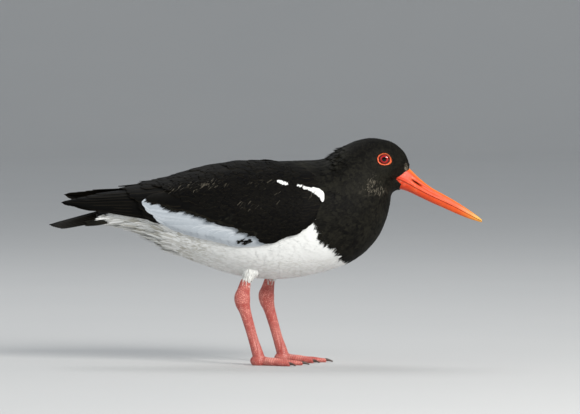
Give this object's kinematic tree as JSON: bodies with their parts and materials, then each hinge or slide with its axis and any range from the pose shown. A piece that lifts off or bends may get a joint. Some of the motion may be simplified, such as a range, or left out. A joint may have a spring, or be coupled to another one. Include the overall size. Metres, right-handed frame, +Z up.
{
  "type": "standing oystercatcher",
  "caption": "Life-size still model of a standing Eurasian oystercatcher, a black and white wader with a long orange-red bill, red eyes and pink legs.",
  "frame": {"origin": "on the floor, at the centre of the bounding box's foot", "axes": "+X is the way the bird faces, +Y its left side, +Z up"},
  "size_m": [0.3808, 0.1002, 0.1988],
  "materials": {
    "black_plumage": "soft black plumage with a faint sheen",
    "white_plumage": "matt white plumage",
    "bill": "smooth horn, orange-red at the base and orange to yellow at the tip",
    "eye": "glossy red iris round a black pupil",
    "eyelid": "bare orange-red skin",
    "leg": "scaly pink skin with dark claws"
  },
  "bodies": {
    "root": {"head": "black_plumage", "neck": "black_plumage", "torso": "white_plumage", "tail": "black_plumage", "wing_right": "black_plumage", "wing_left": "black_plumage", "bill_upper": "bill", "bill_lower": "bill", "eye_right": "eye", "eye_left": "eye", "eyelid_right": "eyelid", "eyelid_left": "eyelid", "thigh_right": "white_plumage", "thigh_left": "white_plumage", "tibia_right": "leg", "tibia_left": "leg", "tarsus_right": "leg", "tarsus_left": "leg", "foot_right": "leg", "foot_left": "leg"}
  },
  "joints": []
}
